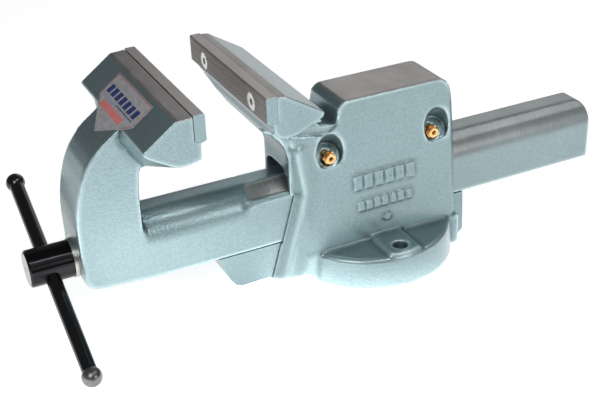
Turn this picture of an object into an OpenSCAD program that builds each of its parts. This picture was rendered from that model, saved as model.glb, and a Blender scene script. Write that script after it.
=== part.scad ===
// Bench vise on a fixed round base: cast body with anvil, sliding jaw with a channel-shaped
// bar, covered screw, hardened jaw plates and a sliding tommy bar.
// Handle end towards -Y, bar and screw along Y, +Z up, origin on the base underside between
// the two bench bolts.

/* [Jaws] */
// width of both jaws
jaw_w = 150; // [140:1:160]
// height of the jaw plates' top edge above the bench
jaw_top = 198; // [196:0.5:202]
// gap between the jaw plates as the vise stands
opening = 46.6; // [20:0.1:60]
// jaw plate height
plate_h = 21; // [18:0.5:23]
// jaw plate thickness
plate_t = 9; // [7:0.5:11]
// distance of each jaw screw from the middle
screw_x = 46.5; // [35:0.5:60]
// jaw screw head radius
screw_head_r = 7.2; // [5:0.1:7.6]
// jaw screw shank radius
screw_r = 4; // [3:0.1:4.5]

/* [Bar] */
// half the width of the sliding bar
bar_half = 24.5; // [23:0.5:25]
// height of the bar's top face
bar_top = 97; // [95:0.5:98]
// height of the bar's lower edge
bar_bottom = 43.5; // [42:0.5:45]
// rear end of the bar
bar_rear = 220; // [190:0.5:240]
// half the width of the channel inside the bar
channel_half = 15.2; // [14:0.1:16]
// height of the channel's roof
channel_top = 84; // [82:0.5:86]

/* [Screw] */
// height of the screw's centre line
screw_z = 67; // [66:0.5:68]
// screw thread outside radius
thread_r = 12; // [10:0.5:12]
// rear end of the screw
thread_end = 135; // [100:1:160]
// screw head radius
head_r = 15; // [14:0.5:17]
// front face of the screw head
head_front = -296.6; // [-305:0.1:-294]

/* [Handle] */
// handle rod radius
rod_r = 6; // [5:0.25:7]
// centre of the upper ball from the screw's centre line
upper_reach = 87; // [60:1:120]
// centre of the lower ball from the screw's centre line
lower_reach = 107; // [60:1:130]
// slope of the handle below level
handle_tilt = 22.9; // [0:0.1:60]
// ball radius
ball_r = 7.75; // [7.25:0.25:10]

/* [Base] */
// radius of the flange at the bench
base_r = 75; // [72:0.5:80]
// flange thickness
base_t = 29; // [26:0.5:31]
// distance of each bench bolt hole from the middle
bolt_x = 59; // [57:0.5:61]
// bench bolt hole radius
bolt_r = 6.5; // [5:0.1:7]

/* [Anvil] */
// height of the anvil face
anvil_top = 156; // [153:0.5:158]
// half the width of the anvil face
anvil_half = 24.3; // [24:0.1:27]
// rear edge of the anvil face
anvil_rear = 56; // [45:0.5:60]

/* [Hidden] */
$fn = 64;

far = 400;
slide_gap = 0.3;
run_gap = 0.06;
paint = [0.60, 0.69, 0.70];
steel = [0.62, 0.61, 0.59];
black = [0.07, 0.07, 0.08];
brass = [0.83, 0.62, 0.30];
bronze = [0.70, 0.50, 0.28];

// jaws
fixed_face = -122;
moving_face = fixed_face - opening;
plate_low = jaw_top - plate_h;
seat_top = jaw_top - 0.8;
seat_lip = 1.4;
plate_screw_z = plate_low + 8;
plate_screw_head = 6;
plate_screw_len = 22;
plate_screw_sink = 0.6;
jaw_hex_r = 3;
hex_r = 3.6;
hex_deep = 3.5;
tail_out = 47.2;
tail_z = 177.2;
wing_fixed_z = 162.3;
wing_moving_z = 159.3;

// moving jaw neck
neck_rear = -259;
neck_front = -208;
back_edge_y = moving_face - 21.3;
back_edge_z = 196.8;
back_slope = 0.724;
bore_r = 15.4;
channel_front = -200;

// bar section
bar_flat = 8.5;
facet_x = 21.5;
facet_z = bar_top - 9;
cheek_z = bar_top - 13.5;

// body
side_low_half = 35.2;
flare_half = 35.8;
body_rear = 74;
rear_round = 12;
mouth_top = 106;
mouth_deep = 14;
rail_half = 23.5;
rail_low = 12.5;
rail_gap = 0.9;
rail_top = bar_bottom - rail_gap;
rail_front = -148;
rail_rear = 86;
nose_low = 10;
front_y = -80;
front_tilt = 16.5;
front_bend_z = 88;
// angle in plan, then a point that each flat of the rounded front edges passes through
front_flats = [[37, 24.6, -80], [55, 31, -71], [72, 34, -62]];
draft = atan((side_low_half - anvil_half) / (anvil_top - base_t));
pad_half = 15;
pad_t = 3;
rim_draft = 2.5;

// rail screws, seen on the base underside
rail_screw_x = 12;
rail_screw_y = 48;
rail_screw_r = 4;
rail_screw_head_r = 6.5;
rail_screw_head = 5.4;
rail_screw_sink = 6.2;
rail_screw_top = 26;

// nut
nut_half = 14.6;
nut_front = -62;
nut_rear = -8;
nut_top = 82.5;
nut_bolt_y = 18;
nut_bolt_r = 5;
nut_bolt_head_r = 8;
nut_bolt_head = 9;
nut_bolt_top = 53;
dowel_r = 3;
dowel_low = 34;
dowel_top = 50;

// grease nipples
nipple_y = [-48, 51];
pocket_shift = [0.5, 2.5];
nipple_z = 110.3;
pocket_r = 12;
pocket_floor_x = 21;
pocket_tilt = 45;
nipple_hex_r = 5.8;
nipple_neck_r = 3.4;
nipple_head_r = 5;
nipple_hole_r = 2.4;
duct_r = 1.5;

// screw parts
washer_t = 3;
collar_t = 12;
collar_gap = 0.15;
collar_r = 14.3;
pin_r = 2.5;
handle_y = -280;
cross_r = rod_r + 0.1;
ball_seat_r = 3;
detent_bore_r = 3.1;
detent_plug = 2.4;
tenon_r = 4;
tenon_len = 5;

function side_x(z) = side_low_half - (z - base_t) * tan(draft);
function slope_z(y) = back_edge_z + (y - back_edge_y) * back_slope;

// prism with its section in the Y-Z plane, from x = from to x = to
module along_x(from, to) {
    translate([from, 0, 0])
        rotate([90, 0, 90])
            linear_extrude(to - from)
                children();
}

// prism with its section in the X-Z plane, from y = from to y = to
module along_y(from, to) {
    translate([0, to, 0])
        rotate([90, 0, 0])
            linear_extrude(to - from)
                children();
}

// round bar on a line parallel to Y
module rod_y(from, to, r, x = 0, z = screw_z) {
    translate([x, to, z])
        rotate([90, 0, 0])
            cylinder(h = to - from, r = r);
}

module both_sides() {
    children();
    mirror([1, 0, 0])
        children();
}

// fixed jaw head: section behind the plate, the same all the way across
module fixed_head_section() {
    y = fixed_face;
    polygon([[y + plate_t, seat_top], [y + 15.5, seat_top - 0.2], [y + tail_out - 1, tail_z + 0.8],
             [y + tail_out, tail_z - 1.2], [y + tail_out - 1.6, tail_z - 4.2],
             [y + 24.8, wing_fixed_z + 1.7], [y + 16.4, wing_fixed_z], [y + 8.5, wing_fixed_z + 3.2],
             [y + 6, wing_fixed_z + 7], [y + 5.8, plate_low - 1.2], [y + seat_lip, plate_low - 1.2],
             [y + seat_lip, plate_low], [y + plate_t, plate_low]]);
}

module moving_head_section() {
    y = moving_face;
    polygon([[y - plate_t, seat_top], [back_edge_y, back_edge_z],
             [y - tail_out, slope_z(y - tail_out)], [y - tail_out - 0.8, tail_z - 0.7],
             [y - tail_out + 0.2, tail_z - 2.7], [y - 41.8, wing_moving_z + 11.7],
             [y - 23.8, wing_moving_z + 1], [y - 16.2, wing_moving_z],
             [y - 5.2, wing_moving_z + 3.3], [y - 4.6, plate_low - 1.2],
             [y - seat_lip, plate_low - 1.2], [y - seat_lip, plate_low], [y - plate_t, plate_low]]);
}

// web under the fixed jaw seen from the front, flaring out to carry the wings
module post_front_section() {
    h = anvil_half - 1;
    polygon([[-h - 2, 60], [h + 2, 60], [h, 128], [h + 1.5, 140], [h + 6, 150], [h + 14, 157.5],
             [h + 26, 162], [h + 44, 165.5], [h + 44, 184], [-h - 44, 184], [-h - 44, 165.5],
             [-h - 26, 162], [-h - 14, 157.5], [-h - 6, 150], [-h - 1.5, 140], [-h, 128]]);
}

// web under the fixed jaw, curving back to the body
module post_section() {
    polygon([[-83.5, 60], [-83, 116], [-85.5, 126], [-90.5, 134], [-97, 140.5], [-105, 147],
             [-111, 154], [-115, 162], [-115, 172], [-110, 184], [-89, 180], [-76.5, 173],
             [-72, 162], [-64, 150], [-54, 141], [-40, 138], [-40, 60]]);
}

// body seen from the side, anvil on top
module body_section() {
    polygon([[-78, nose_low], [-102, nose_low], [-107, nose_low + 3], [-106.5, nose_low + 8],
             [-99, 40], [-92, 66], [-88, front_bend_z], [-84, 104], [-83, 116], [-82, 136],
             [-64, 134],
             [-54, 131.5], [-46, 132.5], [-41, 137], [-39, 144], [-38, 150.5],
             [-34, anvil_top - 1.6], [-30.5, anvil_top], [anvil_rear, anvil_top],
             [anvil_rear + 5, anvil_top - 1.2], [anvil_rear + 9, anvil_top - 4],
             [anvil_rear + 12.5, anvil_top - 9], [anvil_rear + 15, anvil_top - 16],
             [anvil_rear + 17, anvil_top - 28], [body_rear, anvil_top - 46], [body_rear, 0],
             [-60, 0]]);
}

// body seen from the front, sides drafted outwards towards the base
module body_front_section() {
    polygon([[-flare_half, 0], [flare_half, 0], [flare_half, base_t - 12], [side_low_half + 1, base_t - 3],
             [side_x(base_t + 4), base_t + 4], [anvil_half + 0.6, anvil_top - 6],
             [anvil_half, anvil_top - 1], [anvil_half - 1, anvil_top], [1 - anvil_half, anvil_top],
             [-anvil_half, anvil_top - 1], [-anvil_half - 0.6, anvil_top - 6],
             [-side_x(base_t + 4), base_t + 4], [-side_low_half - 1, base_t - 3],
             [-flare_half, base_t - 12]]);
}

// rounds the two rear edges of the body, following its drafted sides
module rear_edge_cuts() {
    both_sides()
        translate([side_low_half, body_rear, base_t])
            rotate([0, -draft, 0])
                translate([-rear_round, -rear_round, 0])
                    linear_extrude(anvil_top)
                        difference() {
                            square(2 * rear_round);
                            circle(r = rear_round);
                        }
}

// flats that round the two front edges of the body, sloping forward below the bend
module front_edge_cuts() {
    deep = 80;
    both_sides()
        for (f = front_flats)
            translate([f[1], f[2], front_bend_z]) {
                rotate([-front_tilt, 0, 0])
                    rotate([0, 0, f[0]])
                        translate([-deep, -deep, -front_bend_z - 10])
                            cube([2 * deep, deep, front_bend_z + 10]);
                rotate([0, 0, f[0]])
                    translate([-deep, -deep, -2])
                        cube([2 * deep, deep, mouth_top - front_bend_z + 24]);
            }
}

// underside flare that carries a jaw's wing from the web out to its end
module wing_flare(section_y, section_z, tilt, turn) {
    intersection() {
        translate([bar_half - 6, section_y, section_z])
            rotate([0, 0, turn])
                rotate([0, -tilt, 0])
                    along_x(-12, 90)
                        children(0);
        along_x(0, jaw_w / 2)
            children(1);
    }
}

// room for the moving jaw's underside flares, below its back slope
module moving_head_envelope() {
    y = moving_face;
    front = y - plate_t - 0.5;
    polygon([[front, 120], [front, 185], [y - 30, slope_z(y - 30) - 2],
             [y - tail_out - 5, slope_z(y - tail_out - 5) - 2], [y - tail_out - 5, 120]]);
}

module moving_flare_section() {
    polygon([[-17, 26], [-8, 10], [0, 0], [10, 1], [24, 12], [30, 22], [28, 48], [-12, 50]]);
}

// outline of the sliding bar; grow adds the sliding clearance
module bar_outline(grow = 0) {
    h = bar_half + grow;
    polygon([[-h, bar_bottom - 1], [-h, cheek_z], [-facet_x - grow / 2, facet_z + grow / 2],
             [-bar_flat, bar_top + grow], [bar_flat, bar_top + grow],
             [facet_x + grow / 2, facet_z + grow / 2], [h, cheek_z], [h, bar_bottom - 1]]);
}

// places its children on the body's drafted side, at distance y along and z up
module on_side(y, z) {
    translate([side_x(z) - 1, y, z])
        rotate([0, -draft, 0])
            children();
}

// two rows of plain raised bars on the body's side, and a dot below them
module side_ornament() {
    raise = 1.4;
    for (i = [0 : 5])
        on_side(-27 + i * 10, 77)
            cube([1 + raise, 6.5, 13]);
    for (i = [0 : 6])
        on_side(-24 + i * 7.6, 57.5)
            cube([1 + raise, 4.6, 8.5]);
    on_side(2, 46.5)
        rotate([0, 90, 0])
            cylinder(h = 1 + raise, r = 3.4);
}

module bench_pads() {
    both_sides()
        intersection() {
            translate([0, -pad_half, 0])
                cube([far, 2 * pad_half, base_t + pad_t]);
            cylinder(h = base_t + pad_t, r = base_r - rim_draft - 1.5);
        }
}

module base_flange() {
    rotate_extrude()
        polygon([[0, 0], [base_r - 1, 0], [base_r, 1], [base_r - rim_draft + 0.6, base_t - 3],
                 [base_r - rim_draft - 0.6, base_t - 0.9], [base_r - rim_draft - 3, base_t],
                 [0, base_t]]);
}

module nipple_pocket(i) {
    y = nipple_y[i];
    translate([pocket_floor_x, y + pocket_shift[i], nipple_z])
        rotate([0, 90 - pocket_tilt, 0])
            cylinder(h = 60, r = pocket_r);
    translate([pocket_floor_x, y, nipple_z])
        rotate([0, 90, 0])
            cylinder(h = 20, r = nipple_hex_r + 0.5);
    translate([bar_half - 14, y, nipple_z])
        rotate([0, 90, 0])
            cylinder(h = 20, r = nipple_neck_r);
    translate([bar_half - 12, y, bar_top - 12])
        cylinder(h = nipple_z - bar_top + 12, r = duct_r);
}

module body_casting() {
    color(paint)
    difference() {
        union() {
            difference() {
                intersection() {
                    along_x(-flare_half, flare_half) body_section();
                    along_y(-120, body_rear) body_front_section();
                }
                front_edge_cuts();
                rear_edge_cuts();
            }
            intersection() {
                along_x(-jaw_w / 2, jaw_w / 2) post_section();
                along_y(-120, -40) post_front_section();
            }
            along_x(-jaw_w / 2, jaw_w / 2) fixed_head_section();
            base_flange();
            bench_pads();
            side_ornament();
        }
        along_y(-130, body_rear + 1) bar_outline(slide_gap);
        along_y(-130, front_y + mouth_deep)
            polygon([[-20, facet_z], [-20, mouth_top - 6], [-13, mouth_top - 1], [0, mouth_top],
                     [13, mouth_top - 1], [20, mouth_top - 6], [20, facet_z]]);
        translate([-rail_half - 0.1, -130, rail_low])
            cube([2 * rail_half + 0.2, 130 + body_rear + 1, bar_bottom - rail_low]);
        for (i = [0, 1])
            nipple_pocket(i);
        both_sides()
            translate([bolt_x, 0, -1])
                cylinder(h = base_t + pad_t + 2, r = bolt_r);
        for (x = [-rail_screw_x, rail_screw_x], y = [-rail_screw_y, rail_screw_y])
            translate([x, y, -1]) {
                cylinder(h = rail_low + 2, r = rail_screw_r);
                cylinder(h = 1 + rail_screw_sink, r = rail_screw_head_r + 0.3);
            }
        both_sides()
            rod_y(fixed_face, fixed_face + plate_screw_len, screw_r, screw_x, plate_screw_z);
    }
}

// jaw plate with its face at y = 0, standing back towards +Y
module jaw_plate() {
    chamfer = 0.8;
    difference() {
        translate([-jaw_w / 2, 0, plate_low])
            rotate([90, 0, 90])
                linear_extrude(jaw_w)
                    polygon([[0, 0], [plate_t, 0], [plate_t, plate_h], [chamfer, plate_h],
                             [0, plate_h - chamfer]]);
        both_sides() {
            rod_y(-1, plate_screw_head, screw_head_r, screw_x, plate_screw_z);
            rod_y(0, plate_t + 1, screw_r + 0.3, screw_x, plate_screw_z);
        }
    }
}

// jaw screws for a plate with its face at y = 0
module jaw_screws() {
    both_sides()
        difference() {
            union() {
                rod_y(plate_screw_sink, plate_screw_head, screw_head_r - 0.15, screw_x,
                      plate_screw_z);
                rod_y(plate_screw_head - 1, plate_screw_len - 0.5, screw_r, screw_x,
                      plate_screw_z);
            }
            translate([screw_x, plate_screw_sink + hex_deep, plate_screw_z])
                rotate([90, 0, 0])
                    cylinder(h = hex_deep + 1, r = jaw_hex_r, $fn = 6);
        }
}

module fixed_jaw_plate() {
    color(steel)
    translate([0, fixed_face, 0])
        jaw_plate();
}

module fixed_jaw_screws() {
    color(steel)
    translate([0, fixed_face, 0])
        jaw_screws();
}

module guide_rail() {
    color(paint)
    difference() {
        along_x(-rail_half, rail_half)
            polygon([[rail_front, rail_top], [rail_front + 9, rail_low + 7.5],
                     [rail_front + 13, rail_low + 2], [rail_front + 18, rail_low],
                     [base_r + slide_gap, rail_low], [base_r + slide_gap, 0.5],
                     [rail_rear - 5, 0.5],
                     [rail_rear, 5], [rail_rear - 1.5, rail_top]]);
        for (x = [-rail_screw_x, rail_screw_x], y = [-rail_screw_y, rail_screw_y])
            translate([x, y, rail_low - 1])
                cylinder(h = rail_screw_top - rail_low + 2, r = rail_screw_r);
        for (y = [nut_front + nut_bolt_y, nut_rear - nut_bolt_y + 4])
            translate([0, y, rail_low - 1]) {
                cylinder(h = far, r = nut_bolt_r);
                cylinder(h = nut_bolt_head + 2, r = nut_bolt_head_r + 0.4);
            }
        for (y = [nut_front + 6, nut_rear - 6])
            translate([0, y, dowel_low])
                cylinder(h = far, r = dowel_r);
    }
}

module rail_screws() {
    color(black)
    for (x = [-rail_screw_x, rail_screw_x], y = [-rail_screw_y, rail_screw_y])
        translate([x, y, 0])
            difference() {
                union() {
                    translate([0, 0, rail_screw_sink - rail_screw_head])
                        cylinder(h = rail_screw_head, r = rail_screw_head_r);
                    translate([0, 0, rail_screw_sink - 1])
                        cylinder(h = rail_screw_top - rail_screw_sink, r = rail_screw_r);
                }
                translate([0, 0, rail_screw_sink - rail_screw_head - 1])
                    cylinder(h = hex_deep + 1, r = hex_r, $fn = 6);
            }
}

module spindle_nut() {
    color(bronze)
    difference() {
        along_y(nut_front, nut_rear)
            polygon([[-nut_half, rail_top], [-nut_half, nut_top - 9], [-nut_half + 9, nut_top],
                     [nut_half - 9, nut_top], [nut_half, nut_top - 9], [nut_half, rail_top]]);
        rod_y(nut_front - 1, nut_rear + 1, thread_r + run_gap);
        for (y = [nut_front + nut_bolt_y, nut_rear - nut_bolt_y + 4])
            translate([0, y, 0])
                cylinder(h = nut_bolt_top, r = nut_bolt_r);
        for (y = [nut_front + 6, nut_rear - 6])
            translate([0, y, 0])
                cylinder(h = dowel_top, r = dowel_r);
    }
}

module nut_bolts() {
    color(black)
    for (y = [nut_front + nut_bolt_y, nut_rear - nut_bolt_y + 4])
        translate([0, y, rail_low + 1])
            difference() {
                union() {
                    cylinder(h = nut_bolt_head, r = nut_bolt_head_r);
                    cylinder(h = nut_bolt_top - rail_low - 1.5, r = nut_bolt_r);
                }
                translate([0, 0, -1])
                    cylinder(h = 6, r = 4.6, $fn = 6);
            }
}

module nut_dowels() {
    color(steel)
    for (y = [nut_front + 6, nut_rear - 6])
        translate([0, y, dowel_low + 0.2])
            cylinder(h = dowel_top - dowel_low - 0.4, r = dowel_r);
}

module grease_nipples() {
    color(brass)
    for (y = nipple_y)
        translate([pocket_floor_x, y, nipple_z])
            rotate([0, 90, 0])
                difference() {
                    union() {
                        translate([0, 0, -6])
                            cylinder(h = 7, r = nipple_neck_r);
                        cylinder(h = 3, r = nipple_hex_r, $fn = 6);
                        translate([0, 0, 3])
                            cylinder(h = 2, r = nipple_neck_r);
                        translate([0, 0, 4.6])
                            cylinder(h = 2.2, r = nipple_head_r);
                        translate([0, 0, 6.8])
                            cylinder(h = 1.2, r1 = nipple_head_r, r2 = nipple_head_r - 1);
                    }
                    translate([0, 0, 5])
                        cylinder(h = 4, r = nipple_hole_r);
                }
}

// neck and bar seen from the side
module neck_section() {
    y = moving_face;
    polygon([[channel_front + 20, bar_bottom], [channel_front + 20, cheek_z - 2],
             [neck_front, cheek_z - 2], [neck_front + 0.5, bar_top + 22],
             [neck_front + 2, 136], [neck_front + 5, 144], [neck_front + 12, 152],
             [y - 23.8, wing_moving_z + 2], [y - 12, wing_moving_z + 4], [y - 10, 185],
             [back_edge_y - 1, back_edge_z - 2], [y - 50, slope_z(y - 50)],
             [-232, slope_z(-232)], [-236, 162.8], [-241, 158], [-246.5, 150.5], [-251, 141],
             [-255, 128], [-257.8, 114], [neck_rear, 100], [neck_rear, 58], [-257.5, 52.5],
             [-254, 48.5], [-249, 46.5], [-230, 45], [-205, bar_bottom]]);
}

module moving_jaw() {
    color(paint)
    difference() {
        union() {
            along_x(-bar_half, bar_half) neck_section();
            along_x(-jaw_w / 2, jaw_w / 2) moving_head_section();
            both_sides()
                wing_flare(-203, 139.5, 20, 10) {
                    moving_flare_section();
                    moving_head_envelope();
                }
            intersection() {
                along_y(neck_front - 5, bar_rear) bar_outline();
                translate([-bar_half, neck_front - 5, bar_bottom])
                    cube([2 * bar_half, far + 100, bar_top - bar_bottom]);
            }
        }
        translate([-channel_half, channel_front, bar_bottom - 1])
            cube([2 * channel_half, far + 100, channel_top - bar_bottom + 1]);
        rod_y(neck_rear - 1, channel_front + 1, bore_r);
        translate([0, (neck_rear + neck_front) / 2, screw_z - bore_r - 9])
            cylinder(h = 12, r = pin_r);
        both_sides()
            rod_y(moving_face - plate_screw_len, moving_face, screw_r, screw_x,
                  plate_screw_z);
    }
}

module moving_jaw_plate() {
    color(steel)
    translate([0, moving_face, 0])
        mirror([0, 1, 0])
            jaw_plate();
}

module moving_jaw_screws() {
    color(steel)
    translate([0, moving_face, 0])
        mirror([0, 1, 0])
            jaw_screws();
}

// five-sided label on the sloping back of the moving jaw
module jaw_label() {
    label_half = 37.5;
    label_t = 0.3;
    top_s = 5;
    side_s = 27;
    tip_s = 49;
    color([0.62, 0.63, 0.66])
    translate([0, back_edge_y, back_edge_z])
        rotate([atan(back_slope), 0, 0])
            linear_extrude(label_t)
                    polygon([[-label_half, -top_s], [-label_half, -side_s], [0, -tip_s],
                             [label_half, -side_s], [label_half, -top_s]]);
}

module spindle_bush() {
    color(bronze)
    difference() {
        rod_y(neck_rear, channel_front - 0.2, bore_r);
        rod_y(neck_rear - 1, channel_front + 1, thread_r + run_gap);
        translate([0, (neck_rear + neck_front) / 2, screw_z - bore_r - 1])
            cylinder(h = 4, r = pin_r);
    }
}

// grub pin that stops the bush from turning, put in from below
module bush_pin() {
    color(black)
    translate([0, (neck_rear + neck_front) / 2, screw_z - bore_r - 2.5])
        cylinder(h = 5, r = pin_r);
}

module spindle() {
    color(black)
    difference() {
        union() {
            rotate([90, 0, 0])
                translate([0, screw_z, -thread_end])
                    cylinder(h = 2, r1 = thread_r - 2, r2 = thread_r);
            rod_y(neck_rear - washer_t - 2, thread_end - 2, thread_r);
            rod_y(head_front + 1.5, neck_rear - washer_t, head_r);
            rotate([90, 0, 0])
                translate([0, screw_z, -head_front - 1.5])
                    cylinder(h = 1.5, r1 = head_r, r2 = head_r - 1.5);
        }
        translate([0, handle_y, screw_z])
            rotate([0, 90 + handle_tilt, 0])
                cylinder(h = 4 * head_r, r = cross_r, center = true);
        rod_y(head_front - 1, handle_y, detent_bore_r);
        translate([0, channel_front + collar_gap + collar_t / 2, screw_z - head_r])
            cylinder(h = 2 * head_r, r = pin_r);
    }
}

module thrust_washer() {
    color(steel)
    difference() {
        rod_y(neck_rear - washer_t, neck_rear - 0.1, head_r + 0.8);
        rod_y(neck_rear - washer_t - 1, neck_rear + 1, thread_r);
    }
}

module retaining_collar() {
    color(steel)
    difference() {
        rod_y(channel_front + collar_gap, channel_front + collar_gap + collar_t, collar_r);
        rod_y(channel_front, channel_front + collar_t + 1, thread_r);
        translate([0, channel_front + collar_gap + collar_t / 2, screw_z - head_r])
            cylinder(h = 2 * head_r, r = pin_r);
    }
}

module collar_pin() {
    color(black)
    translate([0, channel_front + collar_gap + collar_t / 2, screw_z - collar_r + 0.3])
        cylinder(h = 2 * collar_r - 0.6, r = pin_r);
}

module detent_ball() {
    color(steel)
    translate([0, handle_y - rod_r - ball_seat_r - 0.05, screw_z])
        sphere(r = ball_seat_r);
}

module detent_spring() {
    coil_wire = 0.45;
    coil_pitch = 0.97;
    color(steel)
    for (i = [0 : 2])
        translate([0, head_front + detent_plug + 0.55 + i * coil_pitch, screw_z])
            rotate([90, 0, 0])
                rotate_extrude()
                    translate([detent_bore_r - coil_wire - 0.3, 0])
                        circle(r = coil_wire);
}

module detent_screw() {
    color(steel)
    difference() {
        rod_y(head_front, head_front + detent_plug, detent_bore_r);
        translate([-far, head_front - 1, screw_z - 0.5])
            cube([2 * far, 2.2, 1]);
    }
}

// places its children in the handle's own frame: Z along the rod, down towards +X
module on_handle() {
    translate([0, handle_y, screw_z])
        rotate([0, 90 + handle_tilt, 0])
            children();
}

module handle_rod() {
    color(black)
    on_handle() {
        translate([0, 0, -upper_reach + tenon_len])
            cylinder(h = upper_reach + lower_reach - 2 * tenon_len, r = rod_r);
        translate([0, 0, -upper_reach - tenon_len + 2])
            cylinder(h = upper_reach + lower_reach + 2 * tenon_len - 4, r = tenon_r);
    }
}

// ball with a flat where it meets the rod, bored for the rod's end
module handle_ball() {
    color(black)
    rotate_extrude()
        difference() {
            intersection() {
                circle(r = ball_r);
                translate([0, -ball_r])
                    square([ball_r, ball_r + tenon_len]);
            }
            translate([0, -tenon_len + 2])
                square([tenon_r, far]);
        }
}

module handle_ball_upper() {
    on_handle()
        translate([0, 0, -upper_reach])
            handle_ball();
}

module handle_ball_lower() {
    on_handle()
        translate([0, 0, lower_reach])
            mirror([0, 0, 1])
                handle_ball();
}

body_casting();
fixed_jaw_plate();
fixed_jaw_screws();
guide_rail();
rail_screws();
spindle_nut();
nut_bolts();
nut_dowels();
grease_nipples();
moving_jaw();
moving_jaw_plate();
moving_jaw_screws();
jaw_label();
spindle_bush();
bush_pin();
spindle();
thrust_washer();
retaining_collar();
collar_pin();
detent_ball();
detent_spring();
detent_screw();
handle_rod();
handle_ball_upper();
handle_ball_lower();
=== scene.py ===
"""Looks of the bench vise: soft-edged hammertone castings, machined flats, knurled jaw plates,
a cut screw thread, a printed label and blackened handle, around the fixed CAD frame."""

import math
import bmesh
import bpy
import numpy as np
from mathutils import Matrix, Vector


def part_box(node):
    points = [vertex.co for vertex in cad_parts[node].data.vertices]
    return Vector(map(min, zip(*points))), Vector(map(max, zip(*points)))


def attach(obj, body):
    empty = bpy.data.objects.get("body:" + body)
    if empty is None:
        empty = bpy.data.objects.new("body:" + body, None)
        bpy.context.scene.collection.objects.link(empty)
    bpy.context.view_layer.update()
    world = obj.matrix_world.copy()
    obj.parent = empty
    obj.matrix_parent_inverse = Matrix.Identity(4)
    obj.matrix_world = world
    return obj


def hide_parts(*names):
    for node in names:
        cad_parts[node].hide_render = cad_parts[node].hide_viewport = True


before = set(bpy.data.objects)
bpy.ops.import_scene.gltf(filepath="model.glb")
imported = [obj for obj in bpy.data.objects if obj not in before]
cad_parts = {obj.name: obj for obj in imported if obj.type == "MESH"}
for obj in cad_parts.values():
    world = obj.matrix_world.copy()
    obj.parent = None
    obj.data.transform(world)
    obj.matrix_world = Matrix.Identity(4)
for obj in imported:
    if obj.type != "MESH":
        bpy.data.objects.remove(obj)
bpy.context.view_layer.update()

MM = 0.001
ALONG_Y = Matrix.Rotation(math.radians(90), 4, "X")

# how finely the castings are remeshed, and how far their edges are rounded
VOXEL = 0.9 * MM
ROUND_STEPS = 70
ROUND_SHARE = 0.6
# how the painted highlight on edges and the painted shade in hollows follow the curvature
EDGE_SPREAD = 12
EDGE_SCALE = 0.035 * MM
EDGE_FLOOR = 0.009 * MM

# places on the part, read from the frame
JAW_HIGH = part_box("moving_jaw")[1]
SPINDLE_LOW, SPINDLE_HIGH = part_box("spindle")
LABEL_LOW, LABEL_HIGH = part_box("jaw_label")
NIPPLES_LOW, NIPPLES_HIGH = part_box("grease_nipples")
SCREW_Z = SPINDLE_LOW.lerp(SPINDLE_HIGH, 0.5).z

# body casting
ANVIL_Z = 156 * MM
BOLT_X = 59 * MM
NIPPLE_SEAT_X = 27 * MM
NIPPLE_SEAT_Z = 114 * MM
SIDE_LOW_HALF = 35.2 * MM
SIDE_LOW_Z = 29 * MM
SIDE_TOP_HALF = 24.3 * MM
DRAFT = math.atan2(SIDE_LOW_HALF - SIDE_TOP_HALF, ANVIL_Z - SIDE_LOW_Z)

# heights over which the jaws' paint gives way to their machined tops
FIXED_TOP_BARE = (195.8 * MM, 196.6 * MM)
MOVING_TOP_BARE = (195.6 * MM, 196.4 * MM)

# ridges down the body's front edges
FRONT_BEND_Z = 88 * MM
FRONT_TILT = math.radians(16.5)
FRONT_EDGE_X = 24.8 * MM
FRONT_EDGE_Y = -79.85 * MM
FRONT_TURN = math.radians(55)
FLANK_TURN = math.radians(72)
FLANK_X = 6.3 * MM
FLANK_Y = 9.05 * MM
RIDGE_TURN = math.radians(60)
RIDGE_ALONG = 9 * MM
RIDGE_FALL = 6 * MM
RIDGE_HIGH = 2.6 * MM

# slide bar of the moving jaw, with the round of its cast corners and its machined facets
BAR_HALF = 24.5 * MM
BAR_TOP = 97 * MM
ROUND_X = 6 * MM
ROUND_Z = 74 * MM
ROUND_POWER = 1.7
REAR_ROUND = 9 * MM
REAR_FROM = 70 * MM
REAR_BLUR = 6 * MM
BEVEL_INNER = 8.5 * MM
BEVEL_OUTER = 21.5 * MM
BEVEL_DROP = 9 * MM
BEVEL_SLOPE = math.atan2(BEVEL_DROP, BEVEL_OUTER - BEVEL_INNER)
BEVEL_WIDTH = math.hypot(BEVEL_DROP, BEVEL_OUTER - BEVEL_INNER)
FACET_FRONT = -118 * MM
FACET_CORNER = 4.5 * MM
FACET_SINK = 0.8 * MM
NECK_FRONT = -208 * MM

# spindle, whose plain shank ends inside the neck's bush, jaw plates and label
THREAD_CORE = 9.6 * MM
THREAD_R = 12 * MM
THREAD_PITCH = 5 * MM
THREAD_FROM = -199 * MM
SHANK_TO = -200 * MM
KNURL_PITCH = 2.1 * MM
KNURL_DEPTH = 0.45 * MM
KNURL_STEP = 0.45 * MM
PLATE_CHAMFER = 0.8 * MM
SCREW_HEAD_R = 7.05 * MM
SCREW_RECESS_R = 7.2 * MM
SCREW_RECESS_DEPTH = 12 * MM
LABEL_T = 0.3 * MM
PRINT_T = 0.06 * MM
# printed marks, in mm in the label's plane: height of the row of blocks, half the border's width
PRINT_ROW = -9.5
BORDER_HALF = 0.45

# painted pools of light on the floor, which glow before the body and before the neck:
# centre, radius of full light, radius where it is gone, strength
FLOOR_LIGHT_POOLS = (((0.135, -0.19, 0), 0.03, 0.14, 1.3), ((0.12, -0.46, 0), 0.05, 0.18, 1.6))

PAINT = (0.235, 0.327, 0.346, 1)
PAINT_LIGHT = (0.285, 0.395, 0.42, 1)
PAINT_DARK = (0.18, 0.256, 0.272, 1)
# painted highlight on edges, and painted shade in hollows
PAINT_EDGE_HIGHLIGHT = (0.46, 0.60, 0.62, 1)
PAINT_HOLLOW_SHADE = (0.11, 0.16, 0.172, 1)
BARE = (0.50, 0.485, 0.475, 1)
BARE_DARK = (0.30, 0.28, 0.27, 1)

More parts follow.
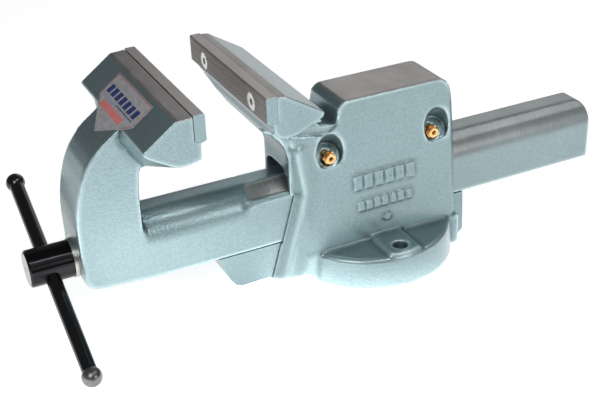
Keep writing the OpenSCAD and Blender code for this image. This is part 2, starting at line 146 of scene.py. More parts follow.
CAMERA_PLACE = (0.7566, -0.4163, 0.5254)
CAMERA_AZIMUTH = 64.98
CAMERA_ELEVATION = 28.96
CAMERA_ROLL = -2.38
CAMERA_LENS = 67.9


# ---------------------------------------------------------------- node materials

class Shader:
    """A node material with one Principled shader, and short calls that add nodes to it."""

    def __init__(self, name):
        self.material = bpy.data.materials.new(name)
        self.material.use_nodes = True
        self.tree = self.material.node_tree
        self.principled = next(n for n in self.tree.nodes if n.type == "BSDF_PRINCIPLED")
        self.place = self.add("ShaderNodeTexCoord").outputs["Object"]

    def add(self, kind, inputs=None, **settings):
        node = self.tree.nodes.new(kind)
        for key, value in settings.items():
            setattr(node, key, value)
        for key, value in (inputs or {}).items():
            self.feed(node.inputs[key], value)
        return node

    def feed(self, socket, value):
        if isinstance(value, bpy.types.NodeSocket):
            self.tree.links.new(value, socket)
        else:
            socket.default_value = value

    def set(self, **inputs):
        for key, value in inputs.items():
            self.feed(self.principled.inputs[key.replace("_", " ").title()], value)

    def stretched(self, x, y, z):
        mapping = self.add("ShaderNodeMapping", {"Vector": self.place, "Scale": (x, y, z)})
        return mapping.outputs["Vector"]

    def noise(self, scale, detail=3.0, vector=None):
        node = self.add("ShaderNodeTexNoise", {"Vector": vector or self.place, "Scale": scale,
                                               "Detail": detail})
        return node.outputs["Fac"]

    def cells(self, scale):
        node = self.add("ShaderNodeTexVoronoi", {"Vector": self.place, "Scale": scale,
                                                 "Smoothness": 0.6}, feature="SMOOTH_F1")
        return node.outputs["Distance"]

    def span(self, value, low, high, to_low=0.0, to_high=1.0):
        """Value carried from the range low to high onto another, and held at its ends."""
        node = self.add("ShaderNodeMapRange", {"Value": value, "From Min": low, "From Max": high,
                                               "To Min": to_low, "To Max": to_high})
        return node.outputs["Result"]

    def mix(self, share, a, b):
        """Mix of two colours."""
        node = self.add("ShaderNodeMix", data_type="RGBA")
        self.feed(node.inputs["Factor"], share)
        self.feed(node.inputs[6], a)
        self.feed(node.inputs[7], b)
        return node.outputs[2]

    def blend(self, share, a, b):
        """Mix of two numbers."""
        node = self.add("ShaderNodeMix", data_type="FLOAT")
        self.feed(node.inputs["Factor"], share)
        self.feed(node.inputs[2], a)
        self.feed(node.inputs[3], b)
        return node.outputs[0]

    def math(self, operation, a, b=0.0):
        node = self.add("ShaderNodeMath", operation=operation)
        self.feed(node.inputs[0], a)
        self.feed(node.inputs[1], b)
        return node.outputs[0]

    def distance(self, centre):
        """How far the shaded point is from a place."""
        offset = self.add("ShaderNodeVectorMath", {0: self.place, 1: centre}, operation="SUBTRACT")
        length = self.add("ShaderNodeVectorMath", {0: offset.outputs[0]}, operation="LENGTH")
        return length.outputs["Value"]

    def attribute(self, name):
        return self.add("ShaderNodeAttribute", attribute_name=name).outputs["Fac"]

    def bump(self, height, distance, strength):
        inputs = {"Height": height, "Distance": distance, "Strength": strength}
        return self.add("ShaderNodeBump", inputs).outputs["Normal"]


def bare_steel(s):
    """Colour, roughness and height of a machined steel flat with fine tool marks."""
    along = s.noise(90.0, 4.0, s.stretched(1.0, 14.0, 1.0))
    cloud = s.noise(38.0, 5.0)
    tone = s.math("ADD", s.math("MULTIPLY", along, 0.55), s.math("MULTIPLY", cloud, 0.45))
    colour = s.mix(s.span(tone, 0.32, 0.68), BARE_DARK, BARE)
    return colour, s.span(along, 0.3, 0.7, 0.34, 0.5), along


def hammertone(name):
    """Metallic blue-grey enamel with dimples, showing bare steel where attribute bare is 1."""
    s = Shader(name)
    dimples = s.cells(540.0)
    flecks = s.noise(1100.0, 2.0)
    drift = s.noise(14.0, 3.0)
    tone = s.math("ADD", s.math("MULTIPLY", s.span(dimples, 0.1, 0.7), 0.5),
                  s.math("MULTIPLY", flecks, 0.5))
    paint = s.mix(s.span(tone, 0.25, 0.75), PAINT_LIGHT, PAINT)
    paint = s.mix(s.span(drift, 0.35, 0.7, 0.0, 0.35), paint, PAINT_DARK)
    # painted highlight on edges, then painted shade in hollows and shaded places
    paint = s.mix(s.attribute("edge"), paint, PAINT_EDGE_HIGHLIGHT)
    paint = s.mix(s.attribute("hollow_shade"), paint, PAINT_HOLLOW_SHADE)
    bare = s.attribute("bare")
    steel, steel_rough, marks = bare_steel(s)
    paint_bump = s.bump(s.math("ADD", dimples, s.math("MULTIPLY", flecks, 0.3)), 0.0004, 0.3)
    steel_bump = s.bump(marks, 0.00006, 0.5)
    normal = s.add("ShaderNodeMix", data_type="VECTOR")
    s.feed(normal.inputs["Factor"], bare)
    s.feed(normal.inputs[4], paint_bump)
    s.feed(normal.inputs[5], steel_bump)
    s.set(base_color=s.mix(bare, paint, steel),
          metallic=s.blend(bare, 0.8, 0.9),
          roughness=s.blend(bare, s.span(flecks, 0.3, 0.7, 0.3, 0.42), steel_rough),
          coat_weight=s.blend(bare, 0.35, 0.0),
          coat_roughness=0.18,
          normal=normal.outputs[1])
    return s.material


def knurled_steel():
    """Hardened plate steel: brown-grey, darker down in the grooves of the knurl."""
    s = Shader("knurled_steel")
    steel, rough, marks = bare_steel(s)
    groove = s.attribute("groove")
    s.set(base_color=s.mix(groove, s.mix(0.35, steel, (0.62, 0.57, 0.54, 1)), (0.06, 0.045, 0.035, 1)),
          metallic=0.8, roughness=s.blend(groove, rough, 0.7),
          normal=s.bump(marks, 0.00005, 0.4))
    return s.material


def plain_metal(name, light, dark, roughness, metallic=1.0, scale=160.0, coat=0.0):
    """A metal with faint grain and cloudy tone."""
    s = Shader(name)
    marks = s.noise(scale, 4.0)
    cloud = s.noise(45.0, 4.0)
    tone = s.math("ADD", s.math("MULTIPLY", marks, 0.5), s.math("MULTIPLY", cloud, 0.5))
    s.set(base_color=s.mix(s.span(tone, 0.35, 0.65), dark, light), metallic=metallic,
          roughness=s.span(marks, 0.3, 0.7, roughness, roughness + 0.12),
          coat_weight=coat, coat_roughness=0.12, normal=s.bump(marks, 0.00004, 0.35))
    return s.material


def turned_black():
    """Blackened, finely turned steel: its highlight runs along the part's length."""
    s = Shader("turned_black")
    cloud = s.noise(60.0, 4.0)
    around = s.add("ShaderNodeTangent", direction_type="RADIAL", axis="Y").outputs["Tangent"]
    s.set(base_color=s.mix(s.span(cloud, 0.35, 0.65), (0.024, 0.024, 0.026, 1), (0.034, 0.034, 0.037, 1)),
          metallic=1.0, roughness=s.span(cloud, 0.3, 0.7, 0.2, 0.22),
          anisotropic=0.9, anisotropic_rotation=0.25, tangent=around)
    return s.material


def printed_film(name, colour, shade):
    """Printed plastic film with a faint grain."""
    s = Shader(name)
    s.set(base_color=s.mix(s.span(s.noise(300.0, 3.0), 0.35, 0.65), shade, colour),
          metallic=0.25, roughness=s.span(s.noise(120.0), 0.3, 0.7, 0.34, 0.44))
    return s.material


def floor_paper():
    """Pale glowing studio floor, nearly free of shadows, with painted light: brighter to the right, in pools
    and in a ring round the base.
    """
    s = Shader("floor_paper")
    paper = s.mix(s.noise(3.0), (0.74, 0.74, 0.74, 1), (0.77, 0.77, 0.77, 1))
    split = s.add("ShaderNodeSeparateXYZ", {0: s.place})
    across, along = split.outputs["X"], split.outputs["Y"]
    # painted light: the floor glows brighter to the right, for the castings to reflect
    glow = s.span(across, -0.1, 0.2, 0.74, 0.95)
    for centre, full, gone, strength in FLOOR_LIGHT_POOLS:
        glow = s.math("ADD", glow, s.span(s.distance(centre), full, gone, strength, 0.0))
    # a painted ring of light round the base, mostly at its front
    light_ring = s.math("MULTIPLY", s.span(s.distance((0, 0, 0)), 0.09, 0.12, 2.2, 0.0),
                  s.span(along, -0.03, 0.06, 1.0, 0.15))
    glow = s.math("ADD", glow, light_ring)
    s.set(base_color=paper, roughness=0.9, emission_color=(1, 1, 1, 1), emission_strength=glow)
    return s.material


# ---------------------------------------------------------------- meshes

def add_object(name, mesh):
    obj = bpy.data.objects.new(name, mesh)
    bpy.context.scene.collection.objects.link(obj)
    return obj


def finish_piece(obj, body, materials, replaces=(), smooth=True):
    """Gives a piece its materials, and makes it move with its body in place of the CAD nodes."""
    for material in materials:
        obj.data.materials.append(material)
    if smooth:
        obj.data.shade_smooth()
    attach(obj, body)
    if replaces:
        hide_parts(*replaces)


def welded_copy(node):
    """The node's surface with split corners joined, as a new bmesh."""
    bm = bmesh.new()
    bm.from_mesh(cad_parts[node].data)
    bmesh.ops.remove_doubles(bm, verts=bm.verts, dist=1e-6)
    return bm


def to_mesh(bm, name):
    mesh = bpy.data.meshes.new(name)
    bm.to_mesh(mesh)
    bm.free()
    return mesh


def with_modifiers(obj):
    """Turns the object's modifiers into its mesh."""
    graph = bpy.context.evaluated_depsgraph_get()
    mesh = bpy.data.meshes.new_from_object(obj.evaluated_get(graph))
    obj.modifiers.clear()
    obj.data = mesh
    return obj


def skin(bm, rows, closed=False):
    """Joins rows of points with faces; closed rows also join their last point to their first."""
    for first, second in zip(rows, rows[1:]):
        for k in range(len(first) if closed else len(first) - 1):
            after = (k + 1) % len(first)
            bm.faces.new((first[k], first[after], second[after], second[k]))


def bevelled(bm, name, width, segments, angle):
    """An object of a bmesh, with its sharp edges rounded by width."""
    bmesh.ops.dissolve_limit(bm, angle_limit=math.radians(1), verts=bm.verts, edges=bm.edges)
    obj = add_object(name, to_mesh(bm, name))
    bevel = obj.modifiers.new("bevel", "BEVEL")
    bevel.width = width
    bevel.segments = segments
    bevel.limit_method = "ANGLE"
    bevel.angle_limit = math.radians(angle)
    bevel.harden_normals = True
    return with_modifiers(obj)


def step(value, low, high):
    """0 below low, 1 above high, smooth between; works on arrays."""
    t = np.clip((value - low) / (high - low), 0, 1)
    return t * t * (3 - 2 * t)


def remeshed(node, name):
    """The node's surface as an even, fine mesh."""
    obj = add_object(name, to_mesh(welded_copy(node), name))
    remesh = obj.modifiers.new("remesh", "REMESH")
    remesh.mode = "VOXEL"
    remesh.voxel_size = VOXEL
    return with_modifiers(obj)


def coordinates(mesh):
    co = np.empty(len(mesh.vertices) * 3)
    mesh.vertices.foreach_get("co", co)
    return co.reshape(-1, 3)


def neighbour_mean(mesh):
    """A function that averages a value, or each column of values, over every point's neighbours."""
    ends = np.empty(len(mesh.edges) * 2, dtype=np.int64)
    mesh.edges.foreach_get("vertices", ends)
    a, b = ends[0::2], ends[1::2]
    count = len(mesh.vertices)
    degree = np.bincount(ends, minlength=count)

    def mean(values):
        if values.ndim == 2:
            return np.stack([mean(column) for column in values.T], axis=1)
        return (np.bincount(a, values[b], count) + np.bincount(b, values[a], count)) / degree

    return mean


def round_edges(mesh, softness, carve, settle=None):
    """Carves a fine mesh, then rounds it by averaging; softness gives each point's share.
    Settle, where given, moves the rounded points once more."""
    mean = neighbour_mean(mesh)
    co = carve(coordinates(mesh))
    share = (ROUND_SHARE * softness(co))[:, None]
    for _ in range(ROUND_STEPS):
        co = co + share * (mean(co) - co)
    if settle is not None:
        co = settle(co)
    mesh.vertices.foreach_set("co", co.ravel())
    mesh.update()
    return co


def shade_edges(mesh, co, shade):
    """Stores painted highlight on edges, and painted shade in hollows and where shade says."""
    mean = neighbour_mean(mesh)
    normals = np.empty(len(mesh.vertices) * 3)
    mesh.vertex_normals.foreach_get("vector", normals)
    normals = normals.reshape(-1, 3)
    # how far each point stands out from its neighbours, spread a little
    stands = -np.sum((mean(co) - co) * normals, axis=1)
    for _ in range(EDGE_SPREAD):
        stands = 0.5 * (stands + mean(stands))
    # the painted highlight is fainter on edges of the anvil and the jaws than on those below
    calm = 1 - 0.7 * step(co[:, 2], ANVIL_Z - 1 * MM, ANVIL_Z + 6 * MM)
    paint_attribute(mesh, "edge", np.clip(calm * (stands - EDGE_FLOOR) / EDGE_SCALE, 0, 1))
    # painted shade where a point sinks below its neighbours
    hollow_shade = np.clip(-stands / EDGE_SCALE, 0, 1)
    paint_attribute(mesh, "hollow_shade", np.maximum(hollow_shade, shade(co, normals)))


def paint_attribute(mesh, name, values):
    layer = mesh.attributes.new(name, "FLOAT", "POINT")
    layer.data.foreach_set("value", values.astype(np.float32))


def near(co, centre, radius, blur):
    """1 within radius of a point, falling to 0 over blur."""
    return 1 - step(np.linalg.norm(co - np.array(centre), axis=1), radius, radius + blur)


def within(co, low, high, blur):
    """1 inside a box, falling to 0 over blur; all in mm, and None is no limit."""
    inside = np.ones(len(co))
    for i in range(3):
        if low[i] is not None:
            inside *= step(co[:, i] / MM, low[i] - blur, low[i])
        if high[i] is not None:
            inside *= 1 - step(co[:, i] / MM, high[i], high[i] + blur)
    return inside


def covered(share, inside, value):
    """The share, replaced by a value where inside is 1."""
    return share * (1 - inside) + value * inside


def covered_boxes(co, base, boxes):
    """A base share with other values inside boxes, each a low and high corner, blur and value."""
    share = np.full(len(co), base)
    for low, high, blur, value in boxes:
        share = covered(share, within(co, low, high, blur), value)
    return share


def side_half(z):
    """Half the body's width at height z."""
    return SIDE_LOW_HALF - (z - SIDE_LOW_Z) * math.tan(DRAFT)


def ridge_place(co):
    """Distance past the ridge on the body's front edge, and how much a point is on that face."""
    x, z = np.abs(co[:, 0]), co[:, 2]
    y = co[:, 1] + np.maximum(FRONT_BEND_Z - z, 0) * math.tan(FRONT_TILT)
    dx, dy = x - FRONT_EDGE_X, y - FRONT_EDGE_Y
    off_front = dx * math.sin(FRONT_TURN) - dy * math.cos(FRONT_TURN)
    along = dx * math.cos(FRONT_TURN) + dy * math.sin(FRONT_TURN)
    off_flank = (dx - FLANK_X) * math.sin(FLANK_TURN) - (dy - FLANK_Y) * math.cos(FLANK_TURN)
    off = np.maximum(np.maximum(off_front, off_flank), x - side_half(z))
    crest = np.minimum(RIDGE_ALONG, (side_half(z) - FRONT_EDGE_X) / math.cos(FRONT_TURN))
    on_face = (1 - step(np.abs(off), 0.8 * MM, 1.4 * MM)) * step(z, 6 * MM, 14 * MM)
    return along - crest, on_face * (1 - step(z, 122 * MM, 130 * MM))


def body_carve(co):
    """Fills out both front edges to a ridge, with a flatter face between it and the bar."""
    past, on_face = ridge_place(co)
    rise = np.clip(1 + past / RIDGE_ALONG, 0, 1)
    fall = np.exp(-(np.maximum(past, 0) / RIDGE_FALL) ** 2)
    push = RIDGE_HIGH * rise * fall * on_face
    co = co.copy()
    co[:, 0] += np.sign(co[:, 0]) * math.sin(RIDGE_TURN) * push
    co[:, 1] -= math.cos(RIDGE_TURN) * push
    return co


def body_softness(co):
    """How much each point of the body rounds: little beside machined and crisp places."""
    share = covered_boxes(co, 0.25, (
        # anvil and jaw head
        ((None, None, 146), (None, None, None), 4, 0.07),
        # seat of the jaw plate
        ((None, None, 160), (None, -76, None), 6, 0.02),
        # opening for the bar
        ((-27, None, None), (27, None, 107), 2, 0.03),
        # flange
        ((None, None, None), (None, None, 31), 2, 0.2),
        # raised bars on the side
        ((20, -32, 42), (None, 36, 93), 3, 0.015),
    ))
    for nipple_y in (NIPPLES_LOW.y, NIPPLES_HIGH.y):
        share = covered(share, near(co, (NIPPLE_SEAT_X, nipple_y, NIPPLE_SEAT_Z), 15 * MM, 5 * MM), 0.05)
    for side in (-1, 1):
        share = covered(share, near(co, (side * BOLT_X, 0, 30 * MM), 9 * MM, 3 * MM), 0.02)
    past, on_face = ridge_place(co)
    beside_ridge = 1 - step(np.abs(past + 2 * MM), 8 * MM, 10 * MM)
    return covered(share, beside_ridge * (on_face > 0), 0.04)


def body_shade(co, normals):
    """Painted shade: darker paint on the web's front face below the fixed jaw."""
    web = within(co, (None, None, 90), (None, -60, 165), 8)
    return 0.6 * web * step(-normals[:, 1], 0.3, 0.8)


def body_bare(co):
    """Bare steel on the anvil's and the fixed jaw's machined tops."""
    top = step(co[:, 2], ANVIL_Z - 0.9 * MM, ANVIL_Z - 0.4 * MM)
    anvil = top * step(co[:, 1], -40 * MM, -38 * MM)
    return np.maximum(anvil, step(co[:, 2], *FIXED_TOP_BARE))


def jaw_softness(co):
    """How much each point of the moving jaw rounds: most along the bar's and neck's cast edges."""
    share = covered_boxes(co, 0.04, (
        # bar's upper corners ahead of the facets
        ((None, None, 76), (None, FACET_FRONT / MM, 110), 3, 0.45),
        # bar's rear
        ((None, REAR_FROM / MM, None), (None, None, None), 3, 0.12),
        # front of the neck
        ((None, None, 40), (None, NECK_FRONT / MM + 12, 158), 5, 0.3),
        # where the neck meets the jaw head
        ((None, None, 140), (None, -150, 162), 4, 0.35),
        # slope behind the jaw, which carries the label
        ((None, None, 163), (None, -150, None), 4, 0.02),
    ))
    from_screw = np.hypot(co[:, 0], co[:, 2] - SCREW_Z)
    in_bore = 1 - step(from_screw, 18.5 * MM, 21 * MM)
    return covered(share, in_bore * within(co, (None,) * 3, (None, -190, None), 3), 0.02)


def facet_depth(co):
    """1 inside the machined facets along the bar's upper bevels, falling to 0 at their edges."""
    x, y, z = np.abs(co[:, 0]), co[:, 1], co[:, 2]
    off = (x - BEVEL_INNER) * math.sin(BEVEL_SLOPE) + (z - BAR_TOP) * math.cos(BEVEL_SLOPE)
    along = (x - BEVEL_INNER) * math.cos(BEVEL_SLOPE) - (z - BAR_TOP) * math.sin(BEVEL_SLOPE)
    on_bevel = 1 - step(np.abs(off), 0.5 * MM, 0.9 * MM)
    # rounded front end of the facet, as a cutter leaves it
    middle = BEVEL_WIDTH / 2
    side = np.clip(np.abs(along - middle) - (middle - FACET_CORNER), 0, FACET_CORNER)
    front = FACET_CORNER - np.sqrt(FACET_CORNER ** 2 - side ** 2)
    inside = step(y - FACET_FRONT, front - 0.4 * MM, front + 0.4 * MM)
    inside = inside * (1 - step(y, REAR_FROM - 10 * MM, REAR_FROM))
    inside = inside * step(along, 0.1 * MM, 0.7 * MM)
    inside = inside * (1 - step(along, BEVEL_WIDTH - 0.4 * MM, BEVEL_WIDTH + 0.4 * MM))
    return inside * on_bevel


def behind_facets(co):
    """1 on the bar's rear part, which has no facets."""
    return step(co[:, 1], REAR_FROM - REAR_BLUR, REAR_FROM)


def bar_corner(co):
    """Draws the bar's cast upper corners, ahead of and behind the facets, in onto a round."""
    co = co.copy()
    across, up = np.abs(co[:, 0]) - ROUND_X, co[:, 2] - ROUND_Z
    reach = (np.maximum(across / (BAR_HALF - ROUND_X), 0) ** ROUND_POWER
             + np.maximum(up / (BAR_TOP - ROUND_Z), 0) ** ROUND_POWER) ** (1 / ROUND_POWER)
    on_corner = (across > 0) & (up > 0) & (reach < 1.3)
    ahead = 1 - step(co[:, 1], FACET_FRONT - 8 * MM, FACET_FRONT)
    ahead = ahead * step(co[:, 1], NECK_FRONT, NECK_FRONT + 6 * MM)
    share = on_corner * np.maximum(ahead, behind_facets(co))
    scale = 1 + share * (1 / np.maximum(reach, 1) - 1)
    co[:, 0] = np.sign(co[:, 0]) * (ROUND_X + across * scale)
    co[:, 2] = ROUND_Z + up * scale
    return co


def jaw_carve(co):
    """Rounds the bar's corners and rear top edge, and presses its machined facets in a little."""
    depth = facet_depth(co) * FACET_SINK
    co = bar_corner(co)
    back, up = co[:, 1] - (JAW_HIGH.y - REAR_ROUND), co[:, 2] - (BAR_TOP - REAR_ROUND)
    reach = np.hypot(back, up) / REAR_ROUND
    scale = np.where((back > 0) & (up > 0), 1 / np.maximum(reach, 1), 1)
    co[:, 1] += back * (scale - 1)
    co[:, 2] += up * (scale - 1)
    co[:, 0] -= np.sign(co[:, 0]) * math.sin(BEVEL_SLOPE) * depth
    co[:, 2] -= math.cos(BEVEL_SLOPE) * depth
    return co


def jaw_bare(co, facets):
    """Bare steel on the facets and the jaw's top, and thin paint on the bar's rear corners."""
    corner = step(co[:, 2], 72 * MM, 86 * MM)
    tops = step(co[:, 2], *MOVING_TOP_BARE)
    return np.maximum(np.maximum(facets, behind_facets(co) * (0.1 + 0.45 * corner)), tops)


def jaw_shade(co, _normals):
    """Painted shade: a dark streak on the rear bar's upper corners, fading away from the body."""
    corner = step(co[:, 2], 76 * MM, 82 * MM) * (1 - step(co[:, 2], 88 * MM, 94 * MM))
    fading = 1 - step(co[:, 1], REAR_FROM, REAR_FROM + 90 * MM)
    return 0.9 * corner * fading * behind_facets(co)


def make_body(paint):
    body = remeshed("body_casting", "body_painted")
    co = round_edges(body.data, body_softness, body_carve)
    shade_edges(body.data, co, body_shade)
    paint_attribute(body.data, "bare", body_bare(co))
    finish_piece(body, "fixed_body", [paint], ["body_casting"])


def make_jaw(paint):
    jaw = remeshed("moving_jaw", "jaw_painted")
    facets = facet_depth(coordinates(jaw.data))
    co = round_edges(jaw.data, jaw_softness, jaw_carve, bar_corner)
    shade_edges(jaw.data, co, jaw_shade)
    paint_attribute(jaw.data, "bare", jaw_bare(co, facets))
    finish_piece(jaw, "sliding_jaw", [paint], ["moving_jaw"])


def make_ornament(paint):
    """The plain raised bars on the body's side, with crisp edges, cut from the CAD casting."""
    bm = welded_copy("body_casting")
    out = Vector((math.cos(DRAFT), 0, math.sin(DRAFT)))
    for place, away in (
        (Vector((SIDE_LOW_HALF, 0, SIDE_LOW_Z)) + out * 0.05 * MM, -out),
        (Vector((0, 0, 40 * MM)), Vector((0, 0, -1))),
        (Vector((0, 0, 95 * MM)), Vector((0, 0, 1))),
        (Vector((0, -40 * MM, 0)), Vector((0, -1, 0))),
        (Vector((0, 45 * MM, 0)), Vector((0, 1, 0))),
    ):
        everything = bm.verts[:] + bm.edges[:] + bm.faces[:]
        bmesh.ops.bisect_plane(bm, geom=everything, plane_co=place, plane_no=away, clear_outer=True)
    bars = bevelled(bm, "side_ornament", 0.5 * MM, 2, 40)
    finish_piece(bars, "fixed_body", [paint], smooth=False)


def make_rail(paint):
    rail = bevelled(welded_copy("guide_rail"), "rail_painted", 1.2 * MM, 3, 30)
    finish_piece(rail, "fixed_body", [paint], ["guide_rail"], smooth=False)


def knurl_height(u, v):
    """1 on the crests and 0 in the grooves of two crossing rows of V grooves."""
    def wave(t):
        return 1 - abs((t / KNURL_PITCH) % 1.0 - 0.5) * 2
    return min(1.0, 1.7 * min(wave(u), wave(v)))


def plate_block(low, high, facing):
    """A jaw plate without holes: knurled front, chamfered top edge, plain back, bottom and ends."""
    front, back = (high.y, low.y) if facing > 0 else (low.y, high.y)
    front_top = high.z - PLATE_CHAMFER
    columns = round((high.x - low.x) / KNURL_STEP)
    rows = round((front_top - low.z) / KNURL_STEP)
    bm = bmesh.new()
    groove = bm.verts.layers.float.new("groove")
    grid = []
    for r in range(rows + 1):
        line = []
        for c in range(columns + 1):
            x = low.x + (high.x - low.x) * c / columns
            z = low.z + (front_top - low.z) * r / rows
            at_edge = min(c, columns - c, r, rows - r) == 0
            height = 0.4 if at_edge else knurl_height(x + 0.12 * z, z - low.z)
            vert = bm.verts.new((x, front - facing * KNURL_DEPTH * (1 - height), z))
            vert[groove] = 1 - height
            line.append(vert)
        grid.append(line)
    skin(bm, grid)

    def edge(y, z):
        return [bm.verts.new((vert.co.x, y, z)) for vert in grid[0]]

    rest = [edge(front - facing * PLATE_CHAMFER, high.z), edge(back, high.z), edge(back, low.z)]
    skin(bm, [grid[-1]] + rest + [grid[0]])
    ends = [bm.faces.new([line[c] for line in grid + rest]) for c in (0, columns)]
    bmesh.ops.recalc_face_normals(bm, faces=bm.faces)
    for face in ends:
        face.material_index = 1
    return bm


def cut_screw_recesses(plate, screws, front):
    """Cuts a plain round recess into the plate's front at each of its screws."""
    low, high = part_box(screws)
    bm = bmesh.new()
    for x in (low.x + SCREW_HEAD_R, high.x - SCREW_HEAD_R):
        place = Matrix.Translation((x, front, low.z + SCREW_HEAD_R)) @ ALONG_Y
        bmesh.ops.create_cone(bm, cap_ends=True, segments=64, radius1=SCREW_RECESS_R,
                              radius2=SCREW_RECESS_R, depth=SCREW_RECESS_DEPTH, matrix=place)
    cutter = add_object("cutter", to_mesh(bm, "cutter"))
    holes = plate.modifiers.new("holes", "BOOLEAN")
    holes.operation = "DIFFERENCE"
    holes.object = cutter
    holes.solver = "EXACT"
    with_modifiers(plate)
    bpy.data.objects.remove(cutter)


def make_jaw_plate(which, body, steel, paint, facing):
    """Hardened plate with a crossed knurl, facing +Y or -Y, and painted ends."""
    node = which + "_jaw_plate"
    name = which + "_plate_knurled"
    low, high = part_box(node)
    plate = add_object(name, to_mesh(plate_block(low, high, facing), name))
    plate.data.materials.append(steel)
    plate.data.materials.append(paint)
    cut_screw_recesses(plate, which + "_jaw_screws", high.y if facing > 0 else low.y)
    plate.data.shade_flat()
    finish_piece(plate, body, [], [node], smooth=False)


def around_screw(radius, angle, y):
    """A place at a radius and an angle around the screw's axis."""
    return radius * math.cos(angle), y, SCREW_Z + radius * math.sin(angle)


def thread_mesh(y_from, y_to):
    """A core with a helical ridge of trapezoidal section wound along Y."""
    segments = 48
    # one pitch of the section: (share of the pitch, radius)
    section = ((0.0, THREAD_CORE), (0.30, THREAD_CORE), (0.40, THREAD_R), (0.90, THREAD_R),
               (1.0, THREAD_CORE))
    bm = bmesh.new()
    rings = []
    for i in range(round((y_to - y_from) / THREAD_PITCH * segments) + 1):
        angle = 2 * math.pi * i / segments
        base = y_from + THREAD_PITCH * i / segments
        rings.append([bm.verts.new(around_screw(radius, angle, min(base + share * THREAD_PITCH, y_to)))
                      for share, radius in section])
    skin(bm, rings)
    bmesh.ops.remove_doubles(bm, verts=bm.verts, dist=1e-6)
    place = Matrix.Translation((0, (y_from + y_to) / 2, SCREW_Z)) @ ALONG_Y
    bmesh.ops.create_cone(bm, cap_ends=True, segments=segments, radius1=THREAD_CORE,
                          radius2=THREAD_CORE, depth=y_to - y_from, matrix=place)
    bmesh.ops.recalc_face_normals(bm, faces=bm.faces)
    return to_mesh(bm, "spindle_thread")


def round_normals(mesh, radius):
    """Shades a turned wall as truly round, also beside the hole drilled across it."""
    normals = []
    for face in mesh.polygons:
        corners = [mesh.vertices[i].co for i in face.vertices]
        outs = [Vector((co.x, 0, co.z - SCREW_Z)) for co in corners]
        faces_out = face.normal.dot(sum(outs, Vector()).normalized()) > 0.9
        on_wall = faces_out and all(abs(out.length - radius) < 0.05 * MM for out in outs)
        normals += [out.normalized() if on_wall else Vector() for out in outs]
    mesh.normals_split_custom_set(normals)


def make_spindle(black, bright):
    """The CAD's head and shank, with a bright end face, and a real thread."""
    bm = welded_copy("spindle")
    everything = bm.verts[:] + bm.edges[:] + bm.faces[:]
    bmesh.ops.bisect_plane(bm, geom=everything, plane_co=(0, SHANK_TO, 0), plane_no=(0, 1, 0),
                           clear_outer=True)
    shank = add_object("spindle_shank", to_mesh(bm, "spindle_shank"))
    shank.data.shade_smooth()
    shank.data.set_sharp_from_angle(angle=math.radians(35))
    round_normals(shank.data, SPINDLE_HIGH.x)
    for face in shank.data.polygons:
        if face.center.y < SPINDLE_LOW.y + 0.3 * MM and face.normal.y < -0.9:
            face.material_index = 1
    finish_piece(shank, "screw", [black, bright], ["spindle"], smooth=False)
    thread = add_object("spindle_thread", thread_mesh(THREAD_FROM, SPINDLE_HIGH.y))
    finish_piece(thread, "screw", [bright])


def make_spring(bright):
    """A small coil between the plug and the ball in the spindle's head."""
    low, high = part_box("detent_spring")
    wire = 0.45 * MM
    radius = (high.x - low.x) / 2 - wire
    y_from, y_to = low.y + wire, high.y - wire
    turns, around, sides = 3, 24, 8
    bm = bmesh.new()
    rings = []
    for i in range(turns * around + 1):
        angle = 2 * math.pi * i / around
        y = y_from + (y_to - y_from) * i / (turns * around)
        section = [2 * math.pi * k / sides for k in range(sides)]
        rings.append([bm.verts.new(around_screw(radius + wire * math.cos(t), angle, y + wire * math.sin(t)))
                      for t in section])
    skin(bm, rings, closed=True)
    bm.faces.new(rings[0])
    bm.faces.new(rings[-1])
    bmesh.ops.recalc_face_normals(bm, faces=bm.faces)
    spring = add_object("detent_coil", to_mesh(bm, "detent_coil"))
    finish_piece(spring, "screw", [bright], ["detent_spring"])


def nipple_profile(base, tip, half):
    """Places along X and radii, from a nipple's foot over its round head to its hole's floor."""
    head = 0.82 * half
    hole = 0.4 * head
    lip = 1.2 * MM
    profile = [(base, 0.6 * half), (tip - 3 * MM, 0.6 * half), (tip - 3 * MM, 0.9 * head)]
    for i in range(7):
        t = math.radians(15 * i)
        profile.append((tip - lip + lip * math.sin(t), head - lip * (1 - math.cos(t))))
    return profile + [(tip - 0.1 * MM, 1.15 * hole), (tip - 0.5 * MM, hole), (tip - 2.5 * MM, 0.8 * hole)]


def circle(bm, x, y, z, radius, sides):
    """A closed row of points around an axis along X."""
    return [bm.verts.new((x, y + radius * math.cos(2 * math.pi * k / sides),
                          z + radius * math.sin(2 * math.pi * k / sides))) for k in range(sides)]


def make_nipples(brass, dark):
    """Two nipples on the body's side: a hexagon, a rounded head and its dark hole."""
    low, high = NIPPLES_LOW, NIPPLES_HIGH
    z = (low.z + high.z) / 2
    half = (high.z - low.z) / 2
    for name, y in (("nipple_front", low.y + half), ("nipple_rear", high.y - half)):
        bm = bmesh.new()
        rings = [circle(bm, x, y, z, radius, 40) for x, radius in nipple_profile(low.x, high.x, half)]
        skin(bm, rings, closed=True)
        bm.faces.new(rings[-1]).material_index = 1
        bm.faces.new(rings[0])
        hexagon = [circle(bm, x, y, z, half, 6) for x in (high.x - 6 * MM, high.x - 3.6 * MM)]
        skin(bm, hexagon, closed=True)
        bm.faces.new(hexagon[0])
        bm.faces.new(hexagon[1])
        bmesh.ops.recalc_face_normals(bm, faces=bm.faces)
        nipple = add_object(name, to_mesh(bm, name))
        nipple.data.shade_smooth()
        nipple.data.set_sharp_from_angle(angle=math.radians(40))
        finish_piece(nipple, "fixed_body", [brass, dark], ["grease_nipples"], smooth=False)


# ---------------------------------------------------------------- label

def label_frame():
    """Matrix of the label's face: X across, Y up the jaw's back slope, Z out of the face."""
    slope = math.atan2(LABEL_HIGH.z - LABEL_LOW.z, LABEL_HIGH.y - LABEL_LOW.y)
    top = Vector((0, LABEL_HIGH.y - LABEL_T * math.sin(slope), LABEL_HIGH.z))
    return Matrix.Translation(top) @ Matrix.Rotation(slope, 4, "X")


